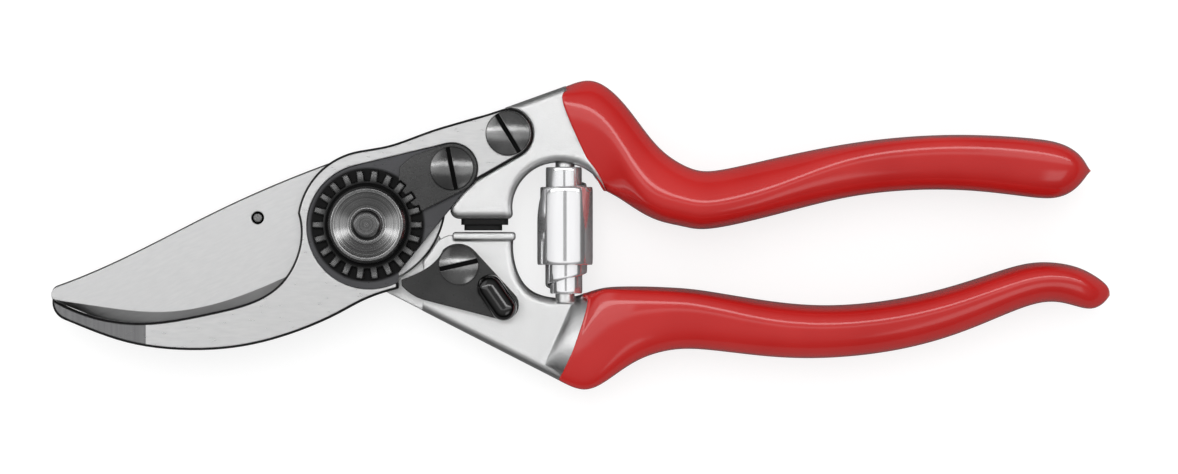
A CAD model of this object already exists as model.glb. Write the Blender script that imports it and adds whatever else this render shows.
import math
import bpy
import numpy as np
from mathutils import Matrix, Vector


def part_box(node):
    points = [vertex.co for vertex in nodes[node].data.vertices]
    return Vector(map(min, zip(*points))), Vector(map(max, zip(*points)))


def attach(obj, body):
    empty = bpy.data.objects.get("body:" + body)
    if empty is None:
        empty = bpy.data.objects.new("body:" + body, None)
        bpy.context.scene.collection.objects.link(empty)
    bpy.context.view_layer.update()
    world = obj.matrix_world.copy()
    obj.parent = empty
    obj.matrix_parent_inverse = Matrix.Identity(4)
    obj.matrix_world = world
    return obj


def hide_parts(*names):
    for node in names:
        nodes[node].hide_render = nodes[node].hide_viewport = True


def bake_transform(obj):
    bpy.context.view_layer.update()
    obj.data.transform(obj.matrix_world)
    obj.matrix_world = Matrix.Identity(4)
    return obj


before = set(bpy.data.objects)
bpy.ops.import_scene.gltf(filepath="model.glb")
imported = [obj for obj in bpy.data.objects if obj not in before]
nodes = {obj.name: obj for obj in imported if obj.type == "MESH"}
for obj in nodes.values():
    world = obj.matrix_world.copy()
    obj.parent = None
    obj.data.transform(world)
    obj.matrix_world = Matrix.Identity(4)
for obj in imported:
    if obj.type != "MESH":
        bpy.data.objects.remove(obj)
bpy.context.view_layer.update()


# ---------------------------------------------------------------------------------------
# Light table. The shears lie on a pale sheet, lit evenly from below and above, so that
# they cast hardly any shadow. A polished surface sees a darker table than the eye does.
# ---------------------------------------------------------------------------------------
def add(tree, kind, inputs=(), **settings):
    """Puts a node in a shader tree. Settings are its own choices; inputs are values or
    sockets, by the name or the number of the input that they go to."""
    made = tree.nodes.new("ShaderNode" + kind)
    for name, value in settings.items():
        setattr(made, name, value)
    for name, value in dict(inputs).items():
        if isinstance(value, bpy.types.NodeSocket):
            tree.links.new(value, made.inputs[name])
        else:
            made.inputs[name].default_value = value
    return made


def grey(level):
    """Neutral colour of one brightness."""
    return (level, level, level, 1)


def fresh_tree(owner):
    """Empty node tree of a material or a world."""
    owner.use_nodes = True
    owner.node_tree.nodes.clear()
    return owner.node_tree


table_level = -0.0004
table_reach = 0.6
sheet = bpy.data.meshes.new("table_top")
sheet.from_pydata(
    [(x * table_reach, y * table_reach, table_level) for x, y in ((-1, -1), (1, -1), (1, 1), (-1, 1))],
    [], [(0, 1, 2, 3)])
table_top = bpy.data.objects.new("table_top", sheet)
bpy.context.scene.collection.objects.link(table_top)

paper = bpy.data.materials.new("table_paper")
tree = fresh_tree(paper)
path = add(tree, "LightPath")
weave = add(tree, "TexNoise", {"Vector": add(tree, "TexCoord").outputs["Object"], "Scale": 900.0})
tone = add(tree, "MapRange", {"Value": weave.outputs["Fac"], "To Min": 0.31, "To Max": 0.33})
seen = add(tree, "AddShader", {0: add(tree, "Emission", {"Color": grey(0.74)}).outputs[0],
                               1: add(tree, "BsdfDiffuse", {"Color": tone.outputs[0]}).outputs[0]})
mirrored = add(tree, "MixShader", {0: path.outputs["Is Glossy Ray"],
                                   1: add(tree, "BsdfDiffuse", {"Color": grey(0.75)}).outputs[0],
                                   2: add(tree, "BsdfDiffuse", {"Color": grey(0.14)}).outputs[0]})
either = add(tree, "MixShader", {
    0: path.outputs["Is Camera Ray"], 1: mirrored.outputs[0], 2: seen.outputs[0]})
add(tree, "OutputMaterial", {"Surface": either.outputs[0]})
sheet.materials.append(paper)


# ---------------------------------------------------------------------------------------
# Camera, straight above the tool, looking down in line with the pivot's axis through a
# long lens.
# ---------------------------------------------------------------------------------------
view_width = 0.2327
view_centre = (0.04365, -0.0024, 0.010)
lens, sensor = 110.0, 36.0

camera = bpy.data.objects.new("camera", bpy.data.cameras.new("camera"))
camera.data.lens = lens
camera.data.sensor_width = sensor
camera.location = (view_centre[0], view_centre[1], view_centre[2] + view_width * lens / sensor)
bpy.context.scene.collection.objects.link(camera)
bpy.context.scene.camera = camera
bpy.context.scene.view_settings.view_transform = "Standard"


# ---------------------------------------------------------------------------------------
# Studio. Soft cards hang over the table: a wide bank above the tool, open in the middle
# where the lens looks through, and a narrow brighter strip beside it, over the +Y side.
# The walls are dark towards the horizon, which draws a dark line along every metal edge.
# ---------------------------------------------------------------------------------------
def card(tree, tilt_x, tilt_y, x_range, y_range, rim, brightness):
    """Brightness of a soft rectangular card, as a function of two angles: how far a
    direction leans from the vertical towards +X and towards +Y, in degrees."""
    total = None
    for tilt, (low, high) in ((tilt_x, x_range), (tilt_y, y_range)):
        for middle, sign in ((low, 1), (high, -1)):
            side = add(tree, "MapRange", {
                "Value": tilt, "From Min": middle - sign * rim / 2, "From Max": middle + sign * rim / 2,
                "To Min": 0.0, "To Max": 1.0}, interpolation_type="SMOOTHSTEP")
            if total is None:
                total = side.outputs[0]
            else:
                total = add(tree, "Math", {0: total, 1: side.outputs[0]}, operation="MULTIPLY").outputs[0]
    return add(tree, "Math", {0: total, 1: brightness}, operation="MULTIPLY").outputs[0]


cards = (
    ((-80, 66), (-12, 6), 8.0, 0.72),      # wide bank over the tool
    ((-7, 7), (-5, 5), 3.0, -0.70),        # lens in the middle of the bank
    ((-62, 62), (7, 16), 1.6, 2.9),        # narrow strip beside the bank
    ((20, 50), (-60, -35), 10.0, 0.8),     # far card towards the handles' lower side
    ((-86, -30), (18, 60), 14.0, 0.55),    # soft card beyond the blades
)
studio = bpy.data.worlds.new("studio")
tree = fresh_tree(studio)
towards = add(tree, "SeparateXYZ", {0: add(tree, "TexCoord").outputs["Generated"]})
leans = []
for axis in ("X", "Y"):
    angle = add(tree, "Math", {0: towards.outputs[axis], 1: towards.outputs["Z"]}, operation="ARCTAN2")
    leans.append(add(tree, "Math", {0: angle.outputs[0]}, operation="DEGREES").outputs[0])
walls = add(tree, "MapRange", {"Value": towards.outputs["Z"], "From Min": 0.1, "From Max": 0.9,
                               "To Min": 0.02, "To Max": 0.30}, interpolation_type="SMOOTHSTEP")
polished = walls.outputs[0]
for x_range, y_range, rim, brightness in cards:
    lit = card(tree, leans[0], leans[1], x_range, y_range, rim, brightness)
    polished = add(tree, "Math", {0: polished, 1: lit}, operation="ADD").outputs[0]
room = add(tree, "MapRange", {"Value": towards.outputs["Y"], "From Min": -1.0, "From Max": 1.0,
                              "To Min": 0.80, "To Max": 1.12})
path = add(tree, "LightPath")
dull = add(tree, "Mix", {
    0: path.outputs["Is Glossy Ray"], 2: room.outputs[0], 3: polished}, data_type="FLOAT")
shown = add(tree, "Mix", {
    0: path.outputs["Is Camera Ray"], 2: dull.outputs[0], 3: 1.0}, data_type="FLOAT")
background = add(tree, "Background", {"Color": shown.outputs[0]})
add(tree, "OutputWorld", {"Surface": background.outputs[0]})
studio.cycles.sampling_method = "NONE"
bpy.context.scene.world = studio

lamp = bpy.data.objects.new("window_light", bpy.data.lights.new("window_light", "AREA"))
lamp.data.energy = 1.6
lamp.data.size = 0.5
lamp.location = (0.0, 0.32, 0.75)
lamp.rotation_euler = (-0.40, 0, 0)
lamp.visible_glossy = False
bpy.context.scene.collection.objects.link(lamp)


# ---------------------------------------------------------------------------------------
# Handles. Both are hot-forged from an aluminium alloy, tumbled to a fine satin, and then
# their edges are left soft. The grain is too fine to feel, and breaks up the reflections.
# ---------------------------------------------------------------------------------------
def group(name, inputs, outputs):
    """New shader group with named number or vector inputs and outputs, and its two ends."""
    made = bpy.data.node_groups.new(name, "ShaderNodeTree")
    for socket, kind in inputs:
        made.interface.new_socket(socket, in_out="INPUT", socket_type="NodeSocket" + kind)
    for socket, kind in outputs:
        made.interface.new_socket(socket, in_out="OUTPUT", socket_type="NodeSocket" + kind)
    return made, made.nodes.new("NodeGroupInput"), made.nodes.new("NodeGroupOutput")


def place_group(tree, made, inputs):
    """Places a group in a material with its own values."""
    node = tree.nodes.new("ShaderNodeGroup")
    node.node_tree = made
    for name, value in inputs.items():
        if isinstance(value, bpy.types.NodeSocket):
            tree.links.new(value, node.inputs[name])
        else:
            node.inputs[name].default_value = value
    return node


# Fine grain: two sizes of noise added together, for tumbled and blackened metal
grain, grain_in, grain_out = group(
    "fine_grain", [("Vector", "Vector"), ("Size", "Float")], [("Grain", "Float"), ("Cloud", "Float")])
finest = add(grain, "TexNoise", {"Vector": grain_in.outputs["Vector"], "Scale": grain_in.outputs["Size"],
                                 "Detail": 3.0, "Roughness": 0.6})
broad = add(grain, "TexNoise", {"Vector": grain_in.outputs["Vector"], "Scale": 90.0, "Detail": 2.0})
grain.links.new(finest.outputs["Fac"], grain_out.inputs["Grain"])
grain.links.new(broad.outputs["Fac"], grain_out.inputs["Cloud"])

# Edge: how much the surface turns within a small radius, 0 on a flat and 1 on a corner
edge, edge_in, edge_out = group(
    "edge_turn", [("Radius", "Float")], [("Edge", "Float"), ("Normal", "Vector")])
eased_normal = add(edge, "Bevel", {"Radius": edge_in.outputs["Radius"]}, samples=6)
true_normal = add(edge, "NewGeometry")
turn = add(edge, "VectorMath", {0: eased_normal.outputs[0], 1: true_normal.outputs["Normal"]},
           operation="DOT_PRODUCT")
turned = add(edge, "MapRange", {"Value": turn.outputs["Value"], "From Min": 0.995, "From Max": 0.80})
edge.links.new(turned.outputs[0], edge_out.inputs["Edge"])
edge.links.new(eased_normal.outputs[0], edge_out.inputs["Normal"])


def between(tree, factor, first, second):
    """Colour that goes from the first to the second as the factor goes from 0 to 1."""
    mix = add(tree, "Mix", {0: factor, 6: first, 7: second}, data_type="RGBA")
    return mix.outputs[2]


def span(tree, value, low, high, start=0.0, end=1.0):
    """Number that goes from low to high as the value goes from start to end."""
    made = add(tree, "MapRange", {"Value": value, "From Min": start, "From Max": end,
                                  "To Min": low, "To Max": high})
    return made.outputs[0]


def bumped(tree, height, distance, normal):
    """Normal turned by a height of so many metres, over another normal."""
    made = add(tree, "Bump", {"Height": height, "Distance": distance, "Strength": 1.0, "Normal": normal})
    return made.outputs[0]


def cover(material, *names):
    """Gives CAD nodes their finish."""
    for name in names:
        for place in nodes[name].material_slots:
            place.material = material


forged = bpy.data.materials.new("forged_aluminium")
tree = fresh_tree(forged)
where = add(tree, "TexCoord").outputs["Object"]
texture = place_group(tree, grain, {"Vector": where, "Size": 2600.0})
corner = place_group(tree, edge, {"Radius": 0.0006})
tint = between(tree, texture.outputs["Cloud"], (0.74, 0.745, 0.75, 1), (0.84, 0.84, 0.835, 1))
tint = between(tree, corner.outputs["Edge"], tint, (0.90, 0.90, 0.90, 1))
shader = add(tree, "BsdfPrincipled", {
    "Base Color": tint, "Metallic": 1.0,
    "Roughness": span(tree, texture.outputs["Grain"], 0.30, 0.46, 0.3, 0.7),
    "Normal": bumped(tree, texture.outputs["Grain"], 0.000016, corner.outputs["Normal"])})
add(tree, "OutputMaterial", {"Surface": shader.outputs[0]})
cover(forged, "upper_handle", "lower_handle")


# ---------------------------------------------------------------------------------------
# Grips. Each hot handle is dipped in red vinyl, which sets as a thick glossy coat with a
# rolled lip at its mouth and a last pale drop at its tip. The coat is a closed skin: it
# runs up the outside, over the lip, and back down against the metal.
# ---------------------------------------------------------------------------------------
MM = 0.001


def spline(values, t):
    """Natural cubic: passes through values at 0, 1, 2 and so on, and bends as evenly as
    it can. Its bends are the solution of one linear system."""
    values = np.asarray(values, float)
    count = len(values)
    system = np.eye(count)
    pull = np.zeros_like(values)
    inner = np.arange(1, count - 1)
    system[inner, inner] = 4
    system[inner, inner - 1] = 1
    system[inner, inner + 1] = 1
    pull[inner] = 6 * (values[inner - 1] - 2 * values[inner] + values[inner + 1])
    bend = np.linalg.solve(system, pull)
    left = np.clip(np.floor(t).astype(int), 0, count - 2)
    f = (t - left).reshape((-1,) + (1,) * (values.ndim - 1))
    g = 1 - f
    return (g * values[left] + f * values[left + 1]
            + ((g ** 3 - g) * bend[left] + (f ** 3 - f) * bend[left + 1]) / 6)


def closed_tube(name, rows):
    """Mesh of a grid of points whose columns close on themselves and whose first and last
    rows shrink to one point each, turned so that its faces point outwards."""
    count, around = rows.shape[:2]
    points = np.concatenate([rows[:1].mean(1), rows[1:-1].reshape(-1, 3), rows[-1:].mean(1)])
    ring = np.arange(around)
    after = (ring + 1) % around
    starts = 1 + around * np.arange(count - 3)[:, None]
    quads = np.stack([starts + ring, starts + after, starts + around + after, starts + around + ring], -1)
    quads = quads.reshape(-1, 4)
    last = len(points) - 1
    top = np.stack([np.zeros_like(ring), 1 + after, 1 + ring], -1)
    foot = np.stack([np.full_like(ring, last), last - around + ring, last - around + after], -1)
    corners = points[top]
    flips = np.einsum("ij,ij->i", corners[:, 0] - points.mean(0),
                      np.cross(corners[:, 1] - corners[:, 0], corners[:, 2] - corners[:, 0])).sum() < 0
    turn = -1 if flips else 1
    mesh = bpy.data.meshes.new(name)
    faces = [face[::turn].tolist() for part in (top, quads, foot) for face in part]
    mesh.from_pydata(points.tolist(), [], faces)
    mesh.polygons.foreach_set("use_smooth", np.ones(len(mesh.polygons), bool))
    made = bpy.data.objects.new(name, mesh)
    bpy.context.scene.collection.objects.link(made)
    return made


# In millimetres: how thick the coat is, how far it is drawn in to clear the table, and
# how high its middle lies. Then the rib that its inside reaches, and the ribs that the
# pale drop at the tip covers.
coat = 0.95
floor_gap = 0.02
mid_level = 8.0
core_end = 11
drop_reach = 0.9
around = np.linspace(0, 2 * math.pi, 96, endpoint=False)

# Ribs across each grip, in millimetres: the +Y edge, the -Y edge, half the depth, and
# where the crown runs, from 0 at the +Y edge to 1 at the -Y edge
upper_ribs = (
    ((39.0, 27.4), (47.0, 6.7), 5.6, 0.22), ((44.4, 28.5), (49.4, 5.4), 6.6, 0.38),
    ((49.6, 25.1), (52.0, 3.7), 7.3, 0.55), ((54.0, 19.6), (54.8, 2.0), 7.7, 0.64),
    ((58.4, 14.5), (58.2, 0.6), 7.9, 0.62), ((63.6, 11.3), (62.6, -0.4), 8.0, 0.58),
    ((69.0, 10.8), (68.2, -0.7), 8.0, 0.57), ((79.0, 12.9), (80.2, 1.9), 7.9, 0.53),
    ((93.2, 15.8), (94.6, 5.4), 7.9, 0.36), ((107.4, 17.5), (108.2, 6.9), 7.9, 0.30),
    ((120.0, 17.8), (120.2, 6.7), 7.9, 0.29), ((130.6, 17.2), (130.2, 5.6), 7.6, 0.30),
    ((137.0, 16.1), (136.2, 5.4), 6.6, 0.33), ((140.7, 13.9), (140.0, 7.2), 4.4, 0.40),
    ((142.4, 11.6), (142.2, 9.7), 1.4, 0.50), ((143.1, 10.7), (143.1, 10.7), 0.0, 0.50),
)
lower_ribs = (
    ((42.9, -13.5), (38.0, -31.0), 4.7, 0.22), ((46.4, -12.5), (43.2, -32.6), 6.2, 0.21),
    ((50.2, -12.2), (48.4, -30.0), 7.3, 0.24), ((54.8, -12.2), (53.4, -26.8), 7.7, 0.27),
    ((60.0, -12.4), (59.2, -24.9), 7.9, 0.29), ((67.0, -13.1), (66.6, -24.7), 8.0, 0.31),
    ((79.0, -15.0), (78.6, -26.0), 8.0, 0.37), ((91.0, -15.9), (91.2, -26.3), 8.0, 0.38),
    ((103.0, -14.9), (104.4, -24.8), 7.9, 0.38), ((114.2, -12.5), (116.4, -21.6), 7.9, 0.38),
    ((123.8, -9.5), (126.4, -17.6), 7.9, 0.38), ((131.6, -7.5), (133.2, -15.4), 7.6, 0.38),
    ((138.6, -7.9), (138.2, -15.6), 6.8, 0.38), ((143.2, -9.7), (142.6, -16.6), 4.6, 0.44),
    ((146.2, -12.0), (145.4, -15.6), 1.8, 0.50), ((146.8, -14.0), (146.8, -14.0), 0.0, 0.50),
)


def sections(ribs, t, inset, ahead, bow, full_after):
    """Points of the coat's sections. Each is an ellipse across a rib, drawn in by inset,
    with its crown pushed sideways by the cube of its height, and moved ahead of the rib
    towards the blades. Past rib full_after, the more the crown leans, the fuller the
    ellipse: its sine and cosine are taken to a power under one. Near the mouth, the crown
    also runs ahead by bow."""
    table = np.array([[*outer, *inner, depth, crown] for outer, inner, depth, crown in ribs])
    x1, y1, x2, y2, depth, crown = spline(table, t).T[:, :, None]
    half = np.hypot(x1 - x2, y1 - y2) / 2
    side = np.stack([x1 - x2, y1 - y2], -1) / np.maximum(2 * half, 1e-6)[..., None]
    forward = np.stack([-side[..., 1], side[..., 0]], -1)
    wide = np.maximum(half - inset, 0)
    deep = np.maximum(depth - floor_gap - inset, 0)
    lean = np.clip(1 - 2 * crown, -0.6, 0.6)
    full = 1 - 0.25 * np.abs(lean) * np.clip(t[:, None] - full_after, 0, 1)
    height = np.sign(np.sin(around)) * np.abs(np.sin(around)) ** full
    level_with = np.sign(np.cos(around)) * np.abs(np.cos(around)) ** full
    across = wide * (level_with + lean * np.abs(height) ** 3)
    fade = np.clip(1 - t[:, None] / 1.6, 0, 1) ** 2
    run = ahead + bow * fade * height ** 2
    middle = np.stack([x1 + x2, y1 + y2], -1) / 2
    plan = middle + across[..., None] * side + run[..., None] * forward
    level = mid_level + deep * height
    return np.concatenate([plan, level[..., None]], -1) * MM


def dipped_grip(name, ribs, bow, full_after):
    """Closed coat: from the tip's drop to the mouth, round the lip, and back down inside.
    The lip is half a circle as thick as the coat."""
    outside = np.concatenate([np.linspace(len(ribs) - 1, core_end, 60), np.linspace(core_end, 0, 120)[1:]])
    lip = np.linspace(0, math.pi, 9)[1:]
    inside = np.linspace(0, core_end, 60)[1:]
    t = np.concatenate([outside, 0 * lip, inside])
    inset = np.concatenate([0 * outside, coat / 2 * (1 - np.cos(lip)), coat + 0 * inside])
    ahead = np.concatenate([0 * outside, coat / 2 * np.sin(lip), 0 * inside])
    rows = sections(ribs, t, inset[:, None], ahead[:, None], bow, full_after)
    rows[-1] = rows[-1].mean(0)
    made = closed_tube(name, rows)
    thin = np.clip((t - (len(ribs) - 1 - drop_reach)) / drop_reach, 0, 1) ** 1.5
    thin = np.concatenate([thin[:1], np.repeat(thin[1:-1], len(around)), thin[-1:]])
    mark = made.data.attributes.new("thin_coat", "FLOAT", "POINT")
    mark.data.foreach_set("value", thin.astype(np.float32))
    return made


vinyl = bpy.data.materials.new("dipped_vinyl")
tree = fresh_tree(vinyl)
where = add(tree, "TexCoord").outputs["Object"]
flow = add(tree, "TexNoise", {"Vector": where, "Scale": 55.0, "Detail": 2.0}).outputs["Fac"]
skin = add(tree, "TexNoise", {"Vector": where, "Scale": 420.0, "Detail": 1.0}).outputs["Fac"]
specks = add(tree, "TexNoise", {"Vector": where, "Scale": 2600.0, "Detail": 2.0}).outputs["Fac"]
drop = add(tree, "Attribute", attribute_name="thin_coat").outputs["Fac"]
red = between(tree, span(tree, flow, 0, 1, 0.3, 0.7), (0.45, 0.010, 0.009, 1), (0.52, 0.016, 0.014, 1))
red = between(tree, drop, red, (0.86, 0.30, 0.22, 1))
swell = add(tree, "Math", {0: skin, 1: span(tree, specks, 0.0, 0.06)}, operation="ADD").outputs[0]
shader = add(tree, "BsdfPrincipled", {
    "Base Color": red, "IOR": 1.5, "Coat Weight": 1.0, "Coat Roughness": 0.05, "Coat IOR": 1.45,
    "Roughness": span(tree, flow, 0.16, 0.26),
    "Normal": bumped(tree, swell, 0.00003, add(tree, "NewGeometry").outputs["Normal"])})
add(tree, "OutputMaterial", {"Surface": shader.outputs[0]})

for side, ribs, bow, full_after in (("upper", upper_ribs, 1.3, 6), ("lower", lower_ribs, -1.5, -1)):
    grip = dipped_grip(side + "_dipped_grip", ribs, bow, full_after)
    grip.data.materials.append(vinyl)
    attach(grip, side)
    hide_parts(side + "_grip")


# ---------------------------------------------------------------------------------------
# Counter blade. A flat of hardened steel, blanked, then surface-ground along its length,
# with a broken edge all round. The hook's end is ground again, across, to thin its tip.
# The nut's sunk seat is blackened, and darkest where oil gathers under the nut.
# ---------------------------------------------------------------------------------------
# Grinding lines: noise drawn out along one axis
ground, ground_in, ground_out = group(
    "grinding_lines", [("Vector", "Vector"), ("Along", "Float"), ("Across", "Float")],
    [("Lines", "Float")])
scale = add(ground, "CombineXYZ", {0: ground_in.outputs["Along"], 1: ground_in.outputs["Across"],
                                   2: ground_in.outputs["Across"]})
drawn = add(ground, "VectorMath", {0: ground_in.outputs["Vector"], 1: scale.outputs[0]}, operation="MULTIPLY")
lines = add(ground, "TexNoise", {"Vector": drawn.outputs[0], "Scale": 1.0, "Detail": 2.0, "Roughness": 0.5})
ground.links.new(lines.outputs["Fac"], ground_out.inputs["Lines"])


def turned_by(tree, where, degrees):
    """Object coordinates turned about the pivot's axis."""
    made = add(tree, "Mapping", {"Vector": where, "Rotation": (0, 0, math.radians(degrees))})
    return made.outputs[0]


def from_axis(tree, where, centre=(0, 0)):
    """Distance from an upright axis through a point in plan."""
    flat = add(tree, "VectorMath", {0: where, 1: (*centre, 0)}, operation="SUBTRACT")
    flat = add(tree, "VectorMath", {0: flat.outputs[0], 1: (1, 1, 0)}, operation="MULTIPLY")
    return add(tree, "VectorMath", {0: flat.outputs[0]}, operation="LENGTH").outputs["Value"]


def steel(name, lean):
    """Ground steel: a tree whose lines run along the blade, and what the next finish needs."""
    made = bpy.data.materials.new(name)
    tree = fresh_tree(made)
    where = add(tree, "TexCoord").outputs["Object"]
    lines = place_group(tree, ground, {
        "Vector": turned_by(tree, where, lean), "Along": 380.0, "Across": 1900.0})
    cloud = place_group(tree, grain, {"Vector": where, "Size": 2000.0})
    return made, tree, where, lines.outputs["Lines"], cloud.outputs["Cloud"]


counter_steel, tree, where, lines, cloud = steel("counter_blade_steel", 0)
corner = place_group(tree, edge, {"Radius": 0.0003})
seat_floor = 0.0115
seat_start_x = -0.020
nut_reach = 0.0110
hook_ground_x = -0.0436
soft_line = 0.00005
place = add(tree, "SeparateXYZ", {0: where})
cross_lines = place_group(tree, ground, {
    "Vector": turned_by(tree, where, 90), "Along": 60.0, "Across": 1500.0})
facing = add(tree, "SeparateXYZ", {0: add(tree, "NewGeometry").outputs["Normal"]})
hook = span(tree, place.outputs["X"], 1, 0, hook_ground_x - soft_line, hook_ground_x + soft_line)
sunk = span(tree, place.outputs["Z"], 1, 0, seat_floor + soft_line, seat_floor + 0.0003)
upward = span(tree, facing.outputs["Z"], 0, 1, 0.97, 0.985)
seat = span(tree, place.outputs["X"], 0, 1, seat_start_x - 0.0005, seat_start_x)
sunk = add(tree, "Math", {0: sunk, 1: seat}, operation="MULTIPLY").outputs[0]
hook = add(tree, "Math", {0: hook, 1: upward}, operation="MULTIPLY").outputs[0]
sunk = add(tree, "Math", {0: sunk, 1: upward}, operation="MULTIPLY").outputs[0]
oily = span(tree, from_axis(tree, where), 1, 0, nut_reach, nut_reach + 0.0005)
tint = between(tree, span(tree, lines, 0, 1, 0.3, 0.7), (0.59, 0.592, 0.595, 1), (0.65, 0.65, 0.648, 1))
tint = between(tree, span(tree, cloud, 0, 0.35, 0.35, 0.65), tint, (0.63, 0.63, 0.63, 1))
facet = between(tree, cross_lines.outputs[0], (0.14, 0.14, 0.145, 1), (0.22, 0.22, 0.22, 1))
floor = between(tree, cloud, (0.060, 0.060, 0.063, 1), (0.105, 0.105, 0.11, 1))
floor = between(tree, oily, floor, grey(0.012))
tint = between(tree, hook, tint, facet)
tint = between(tree, sunk, tint, floor)
broken_edge = span(tree, facing.outputs["Z"], 1, 0, 0.80, 0.95)
tint = between(tree, broken_edge, tint, grey(0.10))
shader = add(tree, "BsdfPrincipled", {
    "Base Color": tint, "Metallic": 1.0,
    "Roughness": span(tree, lines, 0.27, 0.36, 0.3, 0.7),
    "Normal": bumped(tree, lines, 0.0000015, corner.outputs["Normal"])})
add(tree, "OutputMaterial", {"Surface": shader.outputs[0]})
cover(counter_steel, "counter_blade")


# ---------------------------------------------------------------------------------------
# Cutting blade. Hardened steel with a finely ground face, and a darker bevel along its
# edge. It is riveted on the lower handle, and its heel lies in the handle's hollow.
# ---------------------------------------------------------------------------------------
blade_steel, tree, where, lines, cloud = steel("cutting_blade_steel", -24)
corner = place_group(tree, edge, {"Radius": 0.0003})
facing = add(tree, "SeparateXYZ", {0: add(tree, "NewGeometry").outputs["Normal"]}).outputs["Z"]
bevel = span(tree, facing, 1, 0, 0.9915, 0.9985)
tint = between(tree, span(tree, lines, 0, 1, 0.3, 0.7), (0.60, 0.603, 0.606, 1), (0.65, 0.65, 0.65, 1))
tint = between(tree, span(tree, cloud, 0, 0.4, 0.35, 0.65), tint, (0.62, 0.62, 0.623, 1))
tint = between(tree, bevel, tint, between(tree, lines, (0.31, 0.31, 0.313, 1), (0.38, 0.38, 0.38, 1)))
shader = add(tree, "BsdfPrincipled", {
    "Base Color": tint, "Metallic": 1.0,
    "Roughness": span(tree, lines, 0.29, 0.38, 0.3, 0.7),
    "Normal": bumped(tree, lines, 0.0000015, corner.outputs["Normal"])})
add(tree, "OutputMaterial", {"Surface": shader.outputs[0]})
cover(blade_steel, "cutting_blade")


# ---------------------------------------------------------------------------------------
# Nut, segment, bolt and screws. Turned or milled steel, blackened in a hot bath and
# oiled. The nut's dished hub keeps the rings of the lathe, and corners are rubbed paler.
# ---------------------------------------------------------------------------------------
def blackened(name, bands, rings_at=None, radial=(), worn=0.26, corner_radius=0.00035, lacquer=0.0):
    """Black oxide over steel. Each band starts at a height in millimetres, goes from a
    dark tone to a pale one in clouds, and has a low and a high roughness. Corners are
    worn, and lacquer lies over it all. With rings_at, lathe rings run round that point:
    noise of the distance to it, and under the last band each radial tone comes in from
    one distance to another."""
    made = bpy.data.materials.new(name)
    tree = fresh_tree(made)
    where = add(tree, "TexCoord").outputs["Object"]
    level = add(tree, "SeparateXYZ", {0: where}).outputs["Z"]
    texture = place_group(tree, grain, {"Vector": where, "Size": 2200.0})
    corner = place_group(tree, edge, {"Radius": corner_radius})
    cloud = span(tree, texture.outputs["Cloud"], 0, 1, 0.3, 0.7)
    height = texture.outputs["Grain"]
    if rings_at is not None:
        rings = add(tree, "TexNoise", {
            "W": from_axis(tree, where, rings_at), "Scale": 4200.0, "Detail": 3.0}, noise_dimensions="1D")
        height = rings.outputs["Fac"]
        cloud = add(tree, "Mix", {0: 0.6, 2: cloud, 3: span(tree, height, 0, 1, 0.3, 0.7)},
                    data_type="FLOAT").outputs[0]
    tint, rough = None, None
    for start, dark, pale, low, high in bands:
        tone = between(tree, cloud, grey(dark), grey(pale))
        matt = span(tree, height, low, high, 0.3, 0.7)
        if tint is None:
            tint, rough = tone, matt
            continue
        above = span(tree, level, 0, 1, start * MM - soft_line, start * MM + soft_line)
        for first, full, dull in radial:
            ring = span(tree, from_axis(tree, where, rings_at), 0, 1, first * MM, full * MM)
            tint = between(tree, ring, tint, grey(dull))
        tint = between(tree, above, tint, tone)
        rough = add(tree, "Mix", {0: above, 2: rough, 3: matt}, data_type="FLOAT").outputs[0]
    tint = between(tree, span(tree, corner.outputs["Edge"], 0, 1, 0.25, 1.0), tint, grey(worn))
    shader = add(tree, "BsdfPrincipled", {
        "Base Color": tint, "Metallic": 1.0, "Roughness": rough,
        "Coat Weight": lacquer, "Coat Roughness": 0.04,
        "Normal": bumped(tree, height, 0.000012, corner.outputs["Normal"])})
    add(tree, "OutputMaterial", {"Surface": shader.outputs[0]})
    return made


nut_bands = ((0, 0.05, 0.09, 0.22, 0.36), (13.5, 0.13, 0.42, 0.12, 0.22))
nut_tones = ((9.0, 9.8, 0.16), (8.9, 8.2, 0.006))
bolt_bands = ((0, 0.02, 0.05, 0.22, 0.36), (14.3, 0.09, 0.20, 0.18, 0.30))
cover(blackened("blackened_nut", nut_bands, rings_at=(0, 0), radial=nut_tones, worn=0.05), "toothed_nut")
cover(blackened("blackened_bolt", bolt_bands, rings_at=(0, 0), worn=0.16), "pivot_bolt")
cover(blackened("blackened_segment", ((0, 0.060, 0.085, 0.24, 0.36),), worn=0.03), "toothed_segment")

# Screw heads: black in the slot and round the rim, and rubbed bright on the dome
for screw, rim in (("segment_screw", 14.05), ("arm_screw", 13.25), ("catch_screw", 13.25)):
    screw_bands = ((0, 0.004, 0.008, 0.30, 0.40), (rim, 0.12, 0.36, 0.12, 0.22))
    cover(blackened("blackened_" + screw, screw_bands, worn=0.20, corner_radius=0.0002), screw)


# ---------------------------------------------------------------------------------------
# Thumb catch. A steel pressing with a raised thumb tab, blackened and then lacquered.
# The tab's top is the smoothest.
# ---------------------------------------------------------------------------------------
catch_bands = ((0, 0.030, 0.050, 0.26, 0.38), (12.25, 0.045, 0.060, 0.04, 0.08))
cover(blackened("lacquered_catch", catch_bands, worn=0.03, lacquer=1.0), "thumb_catch")


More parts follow.
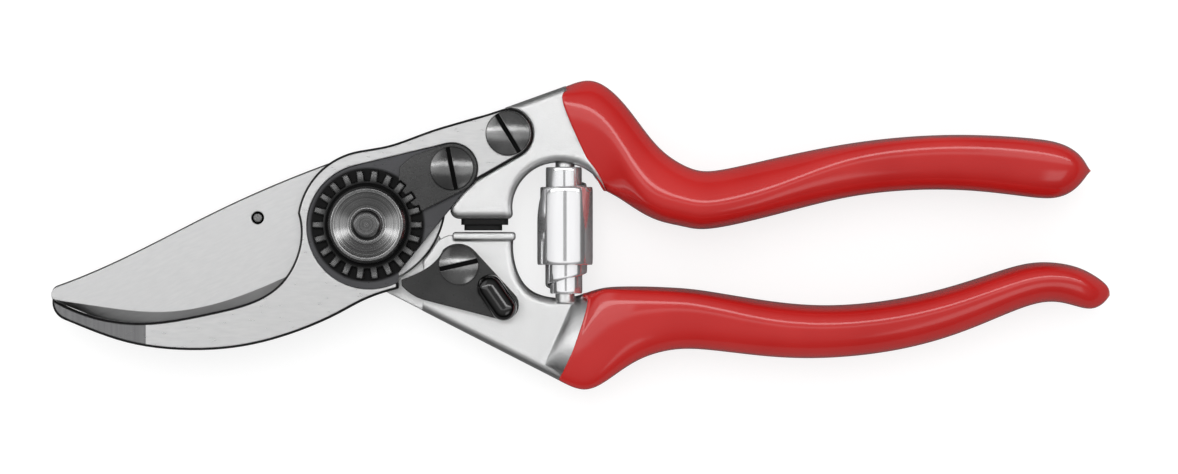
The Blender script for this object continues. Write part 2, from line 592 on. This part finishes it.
# ---------------------------------------------------------------------------------------
# Buffer. A moulded rubber block in a harder rubber seat, which stop the handles softly.
# ---------------------------------------------------------------------------------------
rubber = bpy.data.materials.new("buffer_rubber")
tree = fresh_tree(rubber)
where = add(tree, "TexCoord").outputs["Object"]
texture = place_group(tree, grain, {"Vector": where, "Size": 1800.0})
corner = place_group(tree, edge, {"Radius": 0.0004})
tint = between(tree, texture.outputs["Cloud"], grey(0.004), grey(0.012))
shader = add(tree, "BsdfPrincipled", {
    "Base Color": tint, "Roughness": span(tree, texture.outputs["Grain"], 0.45, 0.65),
    "Specular IOR Level": 0.2,
    "Normal": bumped(tree, texture.outputs["Grain"], 0.00002, corner.outputs["Normal"])})
add(tree, "OutputMaterial", {"Surface": shader.outputs[0]})
cover(rubber, "buffer", "buffer_seat")


# ---------------------------------------------------------------------------------------
# Volute spring. A plated steel ribbon, wound inwards and outwards from a wide middle turn
# to two narrow ends, which sit round the stubs on the handles. As the tool opens, each
# turn slides a little way out of the next.
# ---------------------------------------------------------------------------------------
spring_low, spring_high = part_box("volute_spring")
spring_axis = ((spring_low.x + spring_high.x) / 2, (spring_low.z + spring_high.z) / 2)
ribbon_thick = 0.6
widest, narrowest = 5.2, 2.6
half_turns = 5
barrel_foot, barrel_top = -7.9, 7.5
seam = math.radians(-110)
notch, notch_reach = 1.7, 0.8
step_in, step_start, step_reach = 0.7, 2.9, 0.6
# How the turns slide out at each end: over which share of the winding, to which power
top_slide, foot_slide = (0.5, 3), (0.6, 1.3)

turn_angle = np.linspace(-half_turns * math.pi, half_turns * math.pi, 600)
kept = math.radians(125)
first = np.clip((np.abs(turn_angle) - kept) / (math.pi - kept), 0, 1)
rest = np.clip((np.abs(turn_angle) - math.pi) / ((half_turns - 1) * math.pi), 0, 1)
upward = turn_angle > 0
middle_line = -0.3
rise = np.where(upward, spring_high.y / MM - barrel_top, barrel_foot - spring_low.y / MM)
slide = rise * np.where(upward, np.clip(rest / top_slide[0], 0, 1) ** top_slide[1],
                        np.clip(rest / foot_slide[0], 0, 1) ** foot_slide[1])
near = np.where(upward, barrel_foot + (middle_line + 0.1 - barrel_foot) * first,
                barrel_top + (middle_line - 0.1 - barrel_top) * first)
far = np.where(upward, barrel_top, barrel_foot)
sense = np.where(upward, 1, -1)
near = near + sense * (slide + notch * np.exp(-((np.abs(turn_angle) - math.pi) / notch_reach) ** 2))
far = far + sense * slide

# Profile: a flat bar with round edges, as a square whose corners are pulled in
corner_angle = np.linspace(0, 2 * math.pi, 40, endpoint=False)
bar_thick = np.sign(np.sin(corner_angle)) * np.abs(np.sin(corner_angle)) ** 0.5
bar_wide = np.sign(np.cos(corner_angle)) * np.abs(np.cos(corner_angle)) ** 0.12
jog = step_in * np.clip((np.abs(turn_angle) - step_start) / step_reach, 0, 1)
spiral = widest - jog + (narrowest - widest + step_in) * rest
radius = spiral[:, None] + ribbon_thick / 2 * bar_thick
height = ((near + far) / 2)[:, None] + (np.abs(far - near) / 2)[:, None] * bar_wide
bearing = (turn_angle + seam + math.pi)[:, None]
rows = np.stack([spring_axis[0] / MM + radius * np.sin(bearing), height,
                 spring_axis[1] / MM + radius * np.cos(bearing)], -1) * MM
rows = np.concatenate([rows[:1].mean(1, keepdims=True) + 0 * rows[:1], rows,
                       rows[-1:].mean(1, keepdims=True) + 0 * rows[-1:]])
ribbon = closed_tube("volute_ribbon", rows)

chrome = bpy.data.materials.new("plated_ribbon")
tree = fresh_tree(chrome)
where = add(tree, "TexCoord").outputs["Object"]
lines = place_group(tree, ground, {"Vector": turned_by(tree, where, 0), "Along": 1500.0, "Across": 120.0})
corner = place_group(tree, edge, {"Radius": 0.00015})
tint = between(tree, lines.outputs["Lines"], (0.86, 0.86, 0.875, 1), (0.93, 0.93, 0.94, 1))
shader = add(tree, "BsdfPrincipled", {
    "Base Color": tint, "Metallic": 0.85, "Roughness": span(tree, lines.outputs["Lines"], 0.05, 0.12),
    "Normal": corner.outputs["Normal"]})
add(tree, "OutputMaterial", {"Surface": shader.outputs[0]})
ribbon.data.materials.append(chrome)
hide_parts("volute_spring")
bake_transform(ribbon)


# ---------------------------------------------------------------------------------------
# Small hardware. Spring-steel washers and rivets, a dark steel pin, and a bronze bush
# that the bolt turns in.
# ---------------------------------------------------------------------------------------
def plain_metal(name, first, second, low, high):
    """Bright metal, from the first colour to the second in clouds."""
    made = bpy.data.materials.new(name)
    tree = fresh_tree(made)
    texture = place_group(tree, grain, {"Vector": add(tree, "TexCoord").outputs["Object"], "Size": 2400.0})
    corner = place_group(tree, edge, {"Radius": 0.0002})
    shader = add(tree, "BsdfPrincipled", {
        "Base Color": between(tree, texture.outputs["Cloud"], first, second), "Metallic": 1.0,
        "Roughness": span(tree, texture.outputs["Grain"], low, high, 0.3, 0.7),
        "Normal": bumped(tree, texture.outputs["Grain"], 0.00001, corner.outputs["Normal"])})
    add(tree, "OutputMaterial", {"Surface": shader.outputs[0]})
    return made


spring_steel = plain_metal("spring_steel", grey(0.42), grey(0.60), 0.22, 0.36)
cover(spring_steel, "catch_washer", "pivot_washer", "blade_rivets")
cover(plain_metal("pivot_bronze", (0.50, 0.33, 0.15, 1), (0.66, 0.46, 0.23, 1), 0.28, 0.42), "pivot_bush")
pin_bands = ((0, 0.003, 0.006, 0.3, 0.4), (8.7, 0.16, 0.30, 0.2, 0.3))
cover(blackened("blackened_pin", pin_bands, worn=0.02), "blade_pin")
